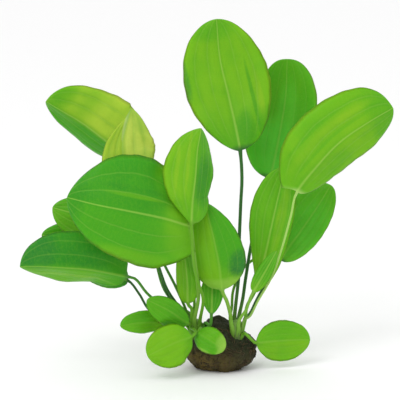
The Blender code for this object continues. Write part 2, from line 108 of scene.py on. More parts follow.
LEAVES = {
    "top_leaf": Leaf(
        "right_crown", 105,
        stalk=((11.5, 60, 1), (11.6, 76, 4), (12.8, 107, 9), (13.6, 124, 12)),
        rib=((12.4, 142, 14), (8.5, 162, 20), (4.6, 179, 25), (-0.7, 202, 28), (-3.0, 227.5, 25)),
        left=Side(26.6, 0.52, 0.5, 0.9), right=Side(29, 0.55, 0.9, 0.9),
        fold=8,
    ),
    "top_back_leaf": Leaf(
        "right_crown", 75,
        stalk=((14.2, 46, 3), (16.2, 60, 8), (20.5, 85, 19), (26.7, 104, 29)),
        rib=((31.9, 124, 38), (35.5, 140, 47), (38.8, 157, 54), (42, 178, 59), (43, 201.5, 58)),
        left=Side(22.5, 0.42, 0.9, 1.1), right=Side(22.5, 0.55, 0.9, 1.1),
        roll=-8,
    ),
    "right_leaf": Leaf(
        "right_crown", 325,
        stalk=((19, 34.5, -11), (24.4, 45, -13), (33, 60, -14), (40, 80, -15), (45.5, 100, -17)),
        rib=((49.4, 115, -19), (63, 132.6, -24), (78, 148, -24), (96, 160.5, -20), (111.8, 169.7, -12)),
        left=Side(27.5, 0.48, 0.8, 1.2, lobe=8), right=Side(19, 0.55, 0.8, 1.2),
        roll=-20, fold=-13, stalk_radius=0.7,
    ),
    "right_back_leaf": Leaf(
        "right_crown", 20,
        stalk=((19, 36.5, -1), (24.2, 47, 5), (31.2, 59, 11)),
        rib=((38.4, 71, 16), (51.4, 89, 26), (61.8, 104, 32), (71.5, 119.5, 35)),
        left=Side(17, 0.6, 0.9, 1.0), right=Side(13, 0.5, 0.9, 0.9),
        roll=12, stalk_radius=0.9,
    ),
    "right_inner_leaf": Leaf(
        "right_crown", 350,
        stalk=((17, 41, -4),),
        rib=((22.6, 52, -4), (28, 71, -3), (33.2, 94, 0), (38.4, 117, 4), (41.6, 131, 6)),
        left=Side(15.5, 0.65, -1.0, 0.9), right=Side(13, 0.6, 0.9, 1.0),
        roll=10, fold=10,
    ),
    "right_young_leaf": Leaf(
        "right_crown", 285,
        stalk=((16.6, 39, -14), (18.6, 45, -17)),
        rib=((21.2, 50.5, -19), (28.5, 63, -21), (36, 76.5, -23)),
        left=Side(5), right=Side(4.5),
        fold=15, stalk_radius=0.9, **SMALL,
    ),
    "right_rear_leaf": Leaf(
        "right_crown", 142,
        stalk=((7.0, 40, 3), (8.2, 52, 9), (15, 66, 17)),
        rib=((29, 77, 25), (38, 88, 36), (49, 98, 46), (61, 106, 52)),
        left=Side(12), right=Side(12),
        roll=-5, stalk_radius=0.9, **SMALL,
    ),
    "middle_leaf": Leaf(
        "right_crown", 225,
        stalk=((6, 36, -14), (3.8, 44, -18)),
        rib=((0.7, 51.5, -21), (-1.3, 68, -27), (-4.6, 84, -30), (-7.8, 97, -29), (-10.4, 108, -25)),
        left=Side(15.5, 0.3, 1.15, 0.9), right=Side(17.2, 0.34, 1.0, 0.6),
        fold=-8, curl=0.15, stalk_radius=1.2,
    ),
    "middle_young_leaf": Leaf(
        "left_crown", 345,
        stalk=((-7.0, 28.5, -11),),
        rib=((-6.2, 36, -12), (-5.8, 47, -11), (-5.5, 62, -8)),
        left=Side(7, 0.6, 0.3), right=Side(7, 0.6, 0.3),
        fold=15, stalk_radius=1.0, exit_height=31, **SMALL,
    ),
    "upright_leaf": Leaf(
        "left_crown", 294,
        stalk=((-11.6, 45, -20), (-14.8, 56, -29), (-17.3, 66, -35), (-18.5, 78, -40), (-18.8, 87, -42.5)),
        rib=((-19.2, 94.5, -44), (-18.2, 111, -45), (-16.6, 127, -43), (-15, 143, -38), (-13, 156.5, -32)),
        left=Side(19.4, 0.54, -0.1, 0.5), right=Side(20, 0.5, 0.9, 0.8),
        roll=-32, fold=-22, stalk_radius=1.0,
    ),
    "front_leaf": Leaf(
        "left_crown", 256,
        stalk=((-14.8, 45, -13), (-15.2, 56, -22), (-16.8, 68, -28), (-18.2, 80, -32), (-18.9, 88, -35)),
        rib=(
            (-19.8, 92.8, -37), (-24.8, 94.3, -39), (-37.5, 98, -43), (-59.2, 102.5, -48), (-82, 107, -48),
            (-100.1, 111.5, -43),
        ),
        left=Side(33, 0.34, 1.0, 0.85, lobe=12), right=Side(35.3, 0.48, 0.5, 0.85),
        roll=4, fold=-6, curl=0.12, stalk_radius=1.2,
    ),
    "upper_left_leaf": Leaf(
        "left_crown", 120,
        stalk=((-27.5, 41, 7), (-36.4, 51.5, 10), (-41.6, 69, 17), (-47, 100, 25)),
        rib=((-52, 133, 30), (-74.8, 148.5, 35), (-93.6, 162, 36), (-113.8, 174, 32)),
        left=Side(17.5, 0.45, 0.9, 0.6), right=Side(27.3, 0.4, 0.3, 1.0),
        roll=30, fold=-20, stalk_radius=1.25,
    ),
    "upper_left_young_leaf": Leaf(
        "left_crown", 172,
        stalk=((-23.4, 40, -4), (-30, 54.6, -4), (-37.7, 69.6, -2), (-50, 95, 2)),
        rib=((-59, 120, 6), (-63.5, 139, 10), (-63, 153, 13), (-58.5, 169.7, 14)),
        left=Side(14.8, 0.22, 0.9, -2.0), right=Side(21, 0.47, 0.9, 0.5),
        fold=8, stalk_radius=0.9,
    ),
    "lower_left_leaf": Leaf(
        "left_crown", 208,
        stalk=((-31, 36, -14), (-46.8, 48, -15), (-55, 58, -16)),
        rib=((-61.1, 60, -17), (-76, 63, -23), (-92, 65, -27), (-111, 66.5, -28), (-130.7, 66.5, -25)),
        left=Side(20, 0.5, 0.9, 0.8), right=Side(23, 0.5, 1.0, 0.9, lobe=3),
        roll=33, fold=-26, stalk_radius=0.9,
    ),
    "lower_left_back_leaf": Leaf(
        "left_crown", 165,
        stalk=((-33, 31, -1), (-46.2, 38, 2), (-53.3, 49, 5)),
        rib=((-60.5, 57.5, 8), (-73, 60.5, 11), (-90, 63, 12)),
        left=Side(7.5), right=Side(9),
        stalk_radius=0.8, exit_height=29, **SMALL,
    ),
    "far_left_leaf": Leaf(
        "left_crown", 150,
        stalk=((-28, 38.5, 0), (-36, 51, 5), (-42, 70, 8), (-57, 82, 11)),
        rib=((-72, 84, 13), (-95, 85, 13), (-116.6, 87, 10)),
        left=Side(10), right=Side(11),
        stalk_radius=0.8, **SMALL,
    ),
    "left_inner_leaf": Leaf(
        "left_crown", 192,
        stalk=((-26, 39, -8), (-35, 52, -11), (-42, 70, -13), (-52, 85, -14)),
        rib=((-64, 91, -14), (-85, 98, -13), (-109.5, 105, -9)),
        left=Side(16, 0.5, 0.9, 0.8), right=Side(12, 0.5, 0.9, 0.8),
        stalk_radius=0.8, **SMALL,
    ),
    "left_rear_leaf": Leaf(
        "left_crown", 105,
        stalk=((-18, 58, 14), (-26, 80, 26)),
        rib=((-36, 93, 35), (-50, 104, 43), (-66, 112, 48), (-82, 116, 48)),
        left=Side(17), right=Side(17),
        roll=10, stalk_radius=0.9, **SMALL,
    ),
    "left_young_leaf": Leaf(
        "left_crown", 238,
        stalk=((-19, 39, -11),),
        rib=((-21.5, 43, -13), (-22, 57, -16), (-23.4, 71, -18), (-24.7, 82, -20)),
        left=Side(6.5, 0.4), right=Side(8, 0.4),
        fold=12, **SMALL,
    ),
    "low_left_leaf": Leaf(
        "left_crown", 228,
        stalk=(),
        rib=((-21.5, 29.5, -15), (-27, 33.3, -20), (-34, 38, -25), (-48, 45, -30)),
        left=Side(9.5, 0.5), right=Side(7, 0.6, 0.7),
        exit_height=30, **SMALL,
    ),
    "low_outer_leaf": Leaf(
        "left_crown", 200,
        stalk=((-26, 30.5, -10),),
        rib=((-36, 30, -13), (-46, 30.3, -16), (-56, 29.7, -18), (-65.5, 28, -17)),
        left=Side(7, 0.5, 0.8, 0.8), right=Side(7.5, 0.5, 0.8, 0.8),
        roll=15, stalk_radius=0.9, exit_height=28, **SMALL,
    ),
    "low_front_leaf": Leaf(
        "left_crown", 245,
        stalk=((-16.5, 24, -23),),
        rib=((-19.2, 21, -27), (-27, 18.2, -32), (-36, 14.2, -35), (-47.8, 8.4, -35)),
        left=Side(14.2, 0.5, 0.9, 1.0), right=Side(12.5, 0.5, 0.9, 1.0),
        stalk_radius=1.0, exit_height=28, **SMALL,
    ),
    "low_middle_leaf": Leaf(
        "left_crown", 296,
        stalk=((-13.4, 26.2, -16),),
        rib=((-14.8, 23.8, -21), (-11.4, 21.2, -25), (-5.4, 17.4, -28), (2.4, 12.7, -28.5)),
        left=Side(8.2, 0.5, 0.9, 1.0), right=Side(8.2, 0.45, 1.0, 1.0, lobe=1),
        stalk_radius=0.9, exit_height=28, **SMALL,
    ),
    "low_right_leaf": Leaf(
        "right_crown", 325,
        stalk=((17, 22, -14.5), (20.3, 18.6, -13.5)),
        rib=((23, 17, -12), (31, 17.8, -7), (41, 18.5, -2), (50, 19, 1), (57.9, 19, 3)),
        left=Side(13, 0.5, 0.4, 1.0), right=Side(13, 0.5, 0.6, 1.0),
        stalk_radius=0.9, exit_height=25, **SMALL,
    ),
}


# Screen colours, each part from 0 to 255
GREENS = {
    "sun": (202, 222, 88),
    "gold": (178, 210, 58),
    "honey": (152, 197, 32),
    "lime": (122, 188, 18),
    "spring": (104, 182, 16),
    "grass": (88, 174, 16),
    "leaf": (70, 166, 18),
    "deep": (56, 154, 20),
    "shade": (42, 141, 26),
    "spot": (34, 118, 50),
    "pale": (156, 204, 78),
    # Painted light: a brighter green that lifts leaves lying in other leaves' shade
    "painted_light_green": (90, 202, 50),
    # Painted highlight: a near-white green for a shining midrib
    "painted_highlight": (226, 238, 160),
    "sheath": (106, 152, 48),
    "pale_stalk": (180, 222, 114),
    "bright_stalk": (136, 190, 68),
    "green_stalk": (112, 174, 42),
    "olive_stalk": (88, 156, 52),
    "dark_stalk": (58, 112, 48),
}


class Patch(NamedTuple):
    """A soft spot of another green, mm right of the midrib and mm from the blade's base: some are the leaf's own tone,
    some painted shade, painted shadow or painted light.
    """

    offset: float
    distance: float
    reach: tuple
    green: str
    share: float = 0.8


class Look(NamedTuple):
    """A leaf's greens on the left and right of its midrib, at its base, and on its stalk; the two halves' greens are
    partly the leaf's own tone and partly painted light and shade, lighter on a half that faces the light and darker on
    a half turned away.
    """

    left: str
    right: str
    base: str
    stalk: str = "green_stalk"
    slot: str = "leaf_light"
    patches: tuple = ()
    veins: float = 1.0  # how strongly the veins show


LOOKS = {
    # Painted shade: the deep patches near the base, 7 and 24 mm right of the midrib, darken the shaded right half
    # there
    "top_leaf": Look("lime", "lime", "grass", "dark_stalk", patches=(
        Patch(-26, 53, (4, 17), "spot", 0.6), Patch(7, 13, (7, 14), "deep", 0.6), Patch(-6, 82, (20, 9), "grass", 0.6),
        Patch(20, 32, (2.4, 24), "honey", 0.5), Patch(15.5, 33, (1.5, 28), "deep", 0.6), Patch(24, 12, (10, 14), "deep", 0.5),
    )),
    # Painted light: the brighter base green and the two brighter patches lift this leaf out of the shade of the top
    # and right leaves
    "top_back_leaf": Look("grass", "grass", "painted_light_green", "dark_stalk", "leaf_dark", patches=(
        Patch(-4, 18, (20, 26), "painted_light_green", 0.9), Patch(14, 44, (8, 24), "leaf", 0.5), Patch(2, 46, (8, 26), "painted_light_green", 0.45),
    ), veins=0.5),
    "right_leaf": Look("lime", "lime", "spring", "pale_stalk", patches=(
        Patch(0, 80, (30, 15), "grass", 0.7), Patch(-11, 42, (3.4, 34), "honey", 0.35),
        Patch(-6, 42, (1.3, 34), "grass", 0.5), Patch(-17, 42, (1.6, 32), "grass", 0.5), Patch(10, 30, (5, 24), "spring", 0.35),
        Patch(-22, 56, (8, 28), "spring", 0.6),
    )),
    # Painted light: the brighter patch near the base lifts this leaf out of the shade that falls on it
    "right_back_leaf": Look("grass", "grass", "spring", "dark_stalk", "leaf_dark", patches=(
        Patch(2, 26, (16, 26), "painted_light_green", 0.6),
    ), veins=0.5),
    # Painted light: the honey base lifts the foot of the blade out of the right young leaf's shadow
    "right_inner_leaf": Look("spring", "spring", "honey", "green_stalk", patches=(
        Patch(5, 50, (3.5, 26), "honey", 0.5),
    )),
    "right_young_leaf": Look("grass", "grass", "lime", "bright_stalk", "leaf_middle"),
    "right_rear_leaf": Look("grass", "leaf", "grass", "green_stalk", "leaf_middle"),
    # Painted shadow: the dark spot 13 mm right of the midrib near the base
    "middle_leaf": Look("lime", "leaf", "lime", "bright_stalk", "leaf_middle", patches=(
        Patch(13, 16, (8, 10), "spot", 0.9), Patch(0, 3, (20, 6), "pale", 0.6),
    ), veins=0.5),
    "middle_young_leaf": Look("grass", "leaf", "leaf", "olive_stalk", "leaf_middle"),
    "upright_leaf": Look("lime", "grass", "spring", "green_stalk", patches=(
        Patch(-5, 40, (1.2, 24), "honey", 0.6), Patch(-11, 34, (1.4, 22), "honey", 0.5), Patch(9, 28, (9, 20), "shade", 0.8),
    )),
    # Painted light: the two patches near the base, 22 and 26 mm right of the midrib, lift the blade out of the upright
    # leaf's shade
    "front_leaf": Look("leaf", "deep", "spring", "bright_stalk", "leaf_middle", patches=(
        Patch(0, 88, (26, 18), "shade", 0.7), Patch(10, 40, (1.6, 22), "lime", 0.5), Patch(14, 44, (2.4, 24), "shade", 0.4),
        Patch(26, 12, (14, 18), "lime", 0.8), Patch(22, 16, (9, 13), "painted_light_green", 0.6),
        Patch(-30, 40, (8, 40), "lime", 0.5), Patch(0, 6, (26, 14), "lime", 0.6),
    )),
    # The gold upper half and the sun-yellow base are partly the leaf's own yellower green and partly painted light:
    # light falling on the upper half and shining through the blade near its base
    "upper_left_leaf": Look("leaf", "gold", "sun", "olive_stalk", patches=(
        Patch(14, 72, (24, 12), "grass", 0.9), Patch(12, 57, (20, 14), "lime", 0.5),
    )),
    # Painted highlight: the near-white streak along the midrib
    "upper_left_young_leaf": Look("gold", "sun", "gold", "olive_stalk", patches=(
        Patch(-0.5, 40, (1.2, 12), "painted_highlight", 0.7),
    )),
    "lower_left_leaf": Look("spring", "shade", "leaf", "olive_stalk", "leaf_dark", patches=(
        Patch(10, 62, (14, 16), "spot", 0.5), Patch(-8, 36, (1.5, 34), "pale", 0.5), Patch(-15, 6, (6, 12), "shade", 0.8),
    ), veins=0.7),
    "lower_left_back_leaf": Look("deep", "leaf", "shade", "dark_stalk", "leaf_dark"),
    "far_left_leaf": Look("deep", "leaf", "deep", "dark_stalk", "leaf_dark"),
    "left_inner_leaf": Look("spring", "grass", "spring", "dark_stalk"),
    "left_rear_leaf": Look("grass", "leaf", "grass", "green_stalk", "leaf_middle"),
    "left_young_leaf": Look("lime", "spring", "lime", "green_stalk", "leaf_middle"),
    "low_left_leaf": Look("grass", "grass", "grass", "green_stalk", "leaf_middle", veins=0.4),
    "low_outer_leaf": Look("spring", "grass", "lime", "green_stalk", "leaf_middle", veins=0.3),
    "low_front_leaf": Look("lime", "lime", "spring", "green_stalk", veins=0.3),
    "low_middle_leaf": Look("spring", "grass", "grass", "green_stalk", patches=(
        Patch(-4, 19, (7, 5), "pale", 0.8), Patch(4, 21, (10, 3), "pale", 0.7), Patch(8.5, 13, (2, 9), "pale", 0.7),
    ), veins=0.2),
    "low_right_leaf": Look("spring", "lime", "spring", "green_stalk", veins=0.4),
}


def paint(colour):
    """The paint that shows as this screen colour, each part from 0 to 255, in the scene's light."""
    shares = [part / 255 for part in colour]
    light = [s / 12.92 if s <= 0.04045 else ((s + 0.055) / 1.055) ** 2.4 for s in shares]
    return tuple(PAINT_SHARE * part for part in light)


def green(name):
    return paint(GREENS[name])


# Shapes of the leaves


def placed(across, up, back):
    """The point that the front view shows this far across and up, in mm, at this depth."""
    across, up, back = across * MM, up * MM + GROUND_LINE, back * MM
    depth = back - up * math.sin(VIEW_TILT)
    depth /= math.cos(VIEW_TILT) + up * math.sin(VIEW_TILT) / VIEW_DISTANCE
    spread = 1 + depth / VIEW_DISTANCE
    up = up * spread
    x = (across - VIEW_CENTRE[0]) * spread + VIEW_CENTRE[0]
    y = depth * math.cos(VIEW_TILT) + up * math.sin(VIEW_TILT)
    z = VIEW_CENTRE[2] - depth * math.sin(VIEW_TILT) + up * math.cos(VIEW_TILT)
    return np.array((x, y, z))


def curve_through(points):
    """A smooth curve through the points, as many short steps."""
    points = [points[0] * 2 - points[1], *points, points[-1] * 2 - points[-2]]
    curve = []
    for before, start, end, after in zip(points, points[1:], points[2:], points[3:]):
        slope = end - before
        bend = 2 * before - 5 * start + 4 * end - after
        twist = 3 * start - before - 3 * end + after
        for step in range(CURVE_STEPS):
            t = step / CURVE_STEPS
            curve.append(start + (slope * t + bend * t**2 + twist * t**3) / 2)
    curve.append(points[-2])
    return np.array(curve)


def leaf_course(leaf):
    """The curve that a leaf's stalk and midrib follow, its running length, and the length of the stalk."""
    x, y, radius = CROWNS[leaf.crown]
    aim = math.radians(leaf.aim)
    outward = np.array((math.cos(aim), math.sin(aim), 0))
    axis = np.array((x, y, leaf.exit_height * MM))
    foot = axis + outward * radius * 0.4
    foot[2] = SHEATH_FOOT
    hip = axis + outward * radius * 0.72
    hip[2] = (SHEATH_FOOT + axis[2]) / 2
    stalk = [foot, hip, axis + outward * radius, *(placed(*point) for point in leaf.stalk)]
    curve = curve_through(stalk + [placed(*point) for point in leaf.rib])
    steps = np.linalg.norm(np.diff(curve, axis=0), axis=1)
    lengths = np.concatenate([[0], np.cumsum(steps)])
    return curve, lengths, lengths[CURVE_STEPS * len(stalk)]


def point_at(curve, lengths, distance):
    """The points and the directions of the curve these distances along it."""
    point = np.stack([np.interp(distance, lengths, curve[:, axis]) for axis in range(3)], axis=1)
    reach = lengths[-1] / 400
    ahead = np.stack([np.interp(distance + reach, lengths, curve[:, axis]) for axis in range(3)], axis=1)
    behind = np.stack([np.interp(distance - reach, lengths, curve[:, axis]) for axis in range(3)], axis=1)
    direction = ahead - behind
    return point, direction / np.linalg.norm(direction, axis=1, keepdims=True)


def half_width(side, along):
    """How far the edge is from the midrib, these shares of the way along the blade."""
    before = np.clip((side.widest - along) / side.widest, 0, 1)
    after = np.clip((along - side.widest) / (1 - side.widest), 0, 1)
    base = (1 - before**2) ** (1 - 0.5 * side.base)
    tip = (1 - after**2) ** (1 - 0.5 * side.tip)
    return side.width * MM * np.where(along < side.widest, base, tip)


def frames_at(direction, roll):
    """Unit vectors to the right hand and towards the front, square to each direction."""
    away = np.array((0, math.cos(VIEW_TILT), -math.sin(VIEW_TILT)))
    right = np.cross(away, direction)
    right /= np.linalg.norm(right, axis=1, keepdims=True)
    front = np.cross(right, direction)
    turn, lean = np.cos(roll)[:, None], np.sin(roll)[:, None]
    return right * turn + front * lean, front * turn - right * lean


def smooth_step(value, low, high):
    share = np.clip((value - low) / (high - low), 0, 1)
    return share**2 * (3 - 2 * share)


def blade_sections(leaf, seed, along, spread, centre, axis, right, front):
    """Front and back points of the blade's sections, and each point's place on the blade."""
    rows, across = along[:, None], spread[None, :]
    rib = leaf.stalk_radius * MM * (1 - rows) ** 1.5 * 0.92 + 0.00012
    widths = np.where(across > 0, half_width(leaf.right, rows), half_width(leaf.left, rows))
    edge_ripple = 1 + 0.012 * np.sin(31 * rows + 5 * seed) * np.sin(17 * rows + seed)
    width = widths * edge_ripple + rib + BLADE_THICKNESS / 4
    fold = math.radians(leaf.fold)
    reach = across * width * math.cos(fold)
    size = np.minimum(1, width / 0.01)
    rise = np.sqrt(across**2 + 0.0004) * width * math.sin(fold) - leaf.curl * across**2 * width
    rise += leaf.wave * MM * across**2 * np.sin(7 * rows + 3 * across) * size
    rise += 0.0003 * across**2 * size * np.sin(19 * rows + 4 * across + 2 * seed)
    rise += 0.0004 * size * np.sin(11 * rows + seed) * np.sin(5 * across + 3 * seed)
    quilt = np.sin(math.pi * MAIN_VEINS * np.abs(across)) ** 2 * smooth_step(rows, 0.02, 0.2)
    rise += 0.00036 * quilt * size * (1 - rows**4)
    lobes = np.where(across > 0, leaf.right.lobe, leaf.left.lobe) * MM
    back = lobes * np.abs(across) * (1 - rows) ** 2 * np.minimum(1, rows / LOBE_START)
    middle = centre[:, None] + right[:, None] * reach[..., None] + front[:, None] * rise[..., None]
    middle = middle - axis * back[..., None]
    half = BLADE_THICKNESS / 2 * (1 - across**4) + 0 * reach
    ridge = rib * np.exp(-((reach / (1.15 * rib)) ** 2))
    round_end = smooth_step(rows, 0, 0.12)
    over = half + ridge * (1 - 0.62 * round_end)
    under = half + ridge
    marks = {"offset": reach / MM, "half": width / MM, "along": rows + 0 * reach}
    return middle + front[:, None] * over[..., None], middle - front[:, None] * under[..., None], marks


def leaf_mesh(name, leaf, seed):
    """The leaf as one skin from its crown to its tip, with its place on the blade kept at each point."""
    curve, lengths, base = leaf_course(leaf)
    cells = leaf.cells
    corner = np.linspace(-1, 1, cells + 1)
    spread = np.sign(corner) * np.abs(corner) ** 1.6

    part = np.linspace(0, 1, STALK_ROWS, endpoint=False) ** 1.5
    centre, direction = point_at(curve, lengths, base * part)
    right, front = frames_at(direction, np.zeros(STALK_ROWS))
    angle = np.pi * (1 - np.arange(2 * cells) / cells)
    groove = 1 - 0.16 * np.exp(-(((angle - np.pi / 2) / 0.5) ** 2))
    radius = leaf.stalk_radius * MM * (1 + 0 * part[:, None]) * groove[None, :]
    ring = right[:, None] * (radius * np.cos(angle))[..., None]
    ring = ring + front[:, None] * (radius * np.sin(angle))[..., None]
    aim = math.radians(leaf.aim)
    sideways = np.array((-math.sin(aim), math.cos(aim), 0))
    wide = SHEATH_WIDTH * np.exp(-((part * base / SHEATH_LENGTH) ** 2))
    ring = ring + sideways * ((ring @ sideways) * wide[:, None])[..., None]
    stalk = centre[:, None] + ring

    rows = leaf.rows + 1
    step = (np.arange(rows) + 0.35) / (leaf.rows + 0.7)
    along = (1 - np.cos(np.pi * step)) / 2
    centre, direction = point_at(curve, lengths, base + (lengths[-1] - base) * along)
    _, axis = point_at(curve, lengths, np.array((base + (lengths[-1] - base) * BASE_SHARE,)))
    direction = axis + (direction - axis) * np.minimum(1, along / BASE_SHARE)[:, None]
    direction /= np.linalg.norm(direction, axis=1, keepdims=True)
    roll = math.radians(leaf.roll) * np.minimum(1, along / 0.25)
    right, front = frames_at(direction, roll)
    over, under, marks = blade_sections(leaf, seed, along, spread, centre, axis[0], right, front)
    blade = np.concatenate([over, under[:, -2:0:-1]], axis=1)

    points = np.concatenate([stalk, blade]).reshape(-1, 3)
    ring = 2 * cells
    rings = STALK_ROWS + rows
    start = np.arange(rings - 1)[:, None] * ring
    here, after = np.arange(ring)[None, :], (np.arange(ring)[None, :] + 1) % ring
    quads = np.stack([start + here, start + after, start + ring + after, start + ring + here], axis=-1)
    faces = [tuple(quad) for quad in quads.reshape(-1, 4).tolist()]
    faces.append(tuple(range(ring)))
    faces.append(tuple(range((rings - 1) * ring, rings * ring))[::-1])
    mesh = bpy.data.meshes.new(name)
    mesh.from_pydata(points.tolist(), [], faces)
    add_marks(mesh, marks, part, ring, (lengths[-1] - base) / MM)
    mesh.shade_smooth()
    shape = bmesh.new()
    shape.from_mesh(mesh)
    bmesh.ops.recalc_face_normals(shape, faces=shape.faces)
    shape.to_mesh(mesh)
    shape.free()
    return mesh


def add_marks(mesh, marks, part, ring, length):
    """Point attributes that the material reads: the place on the blade, the face and the share of the stalk."""
    stalk_points = STALK_ROWS * ring
    zeros = np.zeros(stalk_points)
    fields = {
        key: np.concatenate([zeros, np.concatenate([grid, grid[:, -2:0:-1]], axis=1).ravel()])
        for key, grid in marks.items()
    }
    fields["half"][:stalk_points] = 1.0
    rows = marks["along"].shape[0]
    front = np.zeros((rows, ring))
    front[:, : ring // 2 + 1] = 1
    fields["front"] = np.concatenate([zeros + 1, front.ravel()])
    fields["stalk"] = np.concatenate([np.repeat(part, ring), np.ones(rows * ring)])
    fields["distance"] = fields["along"] * length
    for key, values in fields.items():
        attribute = mesh.attributes.new(key, "FLOAT", "POINT")
        attribute.data.foreach_set("value", values.astype(np.float32))


# Materials


class Nodes:
    """Short calls that add nodes to one material."""

    def __init__(self, name):
        self.material = bpy.data.materials.new(name)
        self.material.use_nodes = True
        self.tree = self.material.node_tree
        self.shader = self.tree.nodes["Principled BSDF"]

    def add(self, kind, **settings):
        node = self.tree.nodes.new(kind)
        for key, value in settings.items():
            setattr(node, key, value)
        return node

    def join(self, value, socket):
        if isinstance(value, bpy.types.NodeSocket):
            self.tree.links.new(value, socket)
        elif isinstance(value, tuple) and len(value) == 3 and socket.type == "RGBA":
            socket.default_value = (*value, 1.0)
        else:
            socket.default_value = value

    def field(self, name):
        return self.add("ShaderNodeAttribute", attribute_name=name).outputs["Fac"]

    def math(self, operation, *values):
        node = self.add("ShaderNodeMath", operation=operation)
        for value, socket in zip(values, node.inputs):
            self.join(value, socket)
        return node.outputs[0]

    def ramp(self, value, low, high, start=0.0, end=1.0):
        """start below low, end above high, and a smooth change between them."""
        node = self.add("ShaderNodeMapRange", interpolation_type="SMOOTHSTEP")
        for socket, item in zip(node.inputs, (value, low, high, start, end)):
            self.join(item, socket)
        return node.outputs[0]

    def mix(self, share, first, second, blend="MIX"):
        node = self.add("ShaderNodeMix", data_type="RGBA", blend_type=blend)
        self.join(share, node.inputs[0])
        self.join(first, node.inputs[6])
        self.join(second, node.inputs[7])
        return node.outputs[2]

    def vector(self, x, y, z):
        node = self.add("ShaderNodeCombineXYZ")
        for socket, item in zip(node.inputs, (x, y, z)):
            self.join(item, socket)
        return node.outputs[0]

    def noise(self, place, scale, detail=3.0, roughness=0.55):
        node = self.add("ShaderNodeTexNoise")
        self.join(place, node.inputs["Vector"])
        node.inputs["Scale"].default_value = scale
        node.inputs["Detail"].default_value = detail
        node.inputs["Roughness"].default_value = roughness
        return node.outputs["Fac"]

    def bump(self, height, strength, distance):
        node = self.add("ShaderNodeBump")
        node.inputs["Strength"].default_value = strength
        node.inputs["Distance"].default_value = distance
        self.join(height, node.inputs["Height"])
        self.join(node.outputs["Normal"], self.shader.inputs["Normal"])


